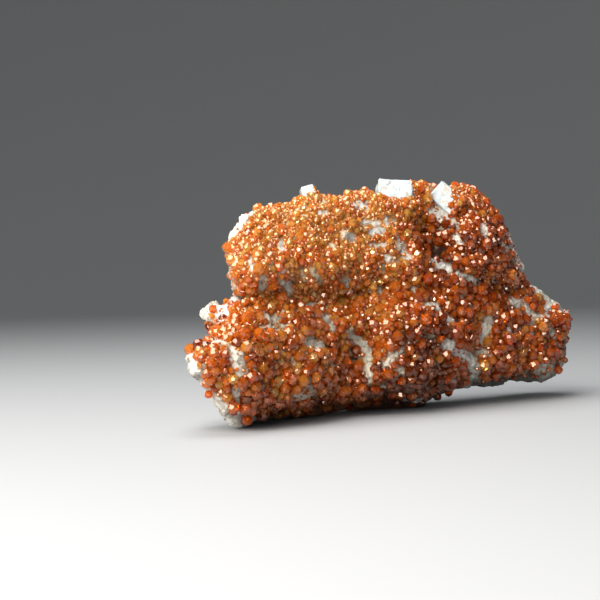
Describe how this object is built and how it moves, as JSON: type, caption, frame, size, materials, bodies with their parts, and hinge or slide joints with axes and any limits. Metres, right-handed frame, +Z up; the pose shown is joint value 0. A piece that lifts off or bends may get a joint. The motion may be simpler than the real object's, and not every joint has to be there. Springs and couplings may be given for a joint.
{
  "type": "spessartine garnet specimen",
  "caption": "Thick standing plate of white feldspar whose front is crusted with small orange garnet crystals, with bare white crystals along its top rim.",
  "frame": {"origin": "middle of the bounding box, on the surface that the specimen stands on", "axes": "+X along the plate, to the right of someone facing its garnets; -Y out of the garnet face; +Z up"},
  "size_m": [0.153, 0.0454, 0.0667],
  "materials": {
    "feldspar": "matt, finely grained",
    "garnet": "glassy, natural crystal faces"
  },
  "bodies": {
    "root": {"feldspar_matrix": "feldspar", "garnet_crust": "garnet", "garnet_on_lump": "garnet", "garnet_left_foot_1": "garnet", "garnet_left_foot_2": "garnet", "garnet_left_edge": "garnet", "garnet_shoulder": "garnet", "garnet_right_end": "garnet"}
  },
  "joints": []
}
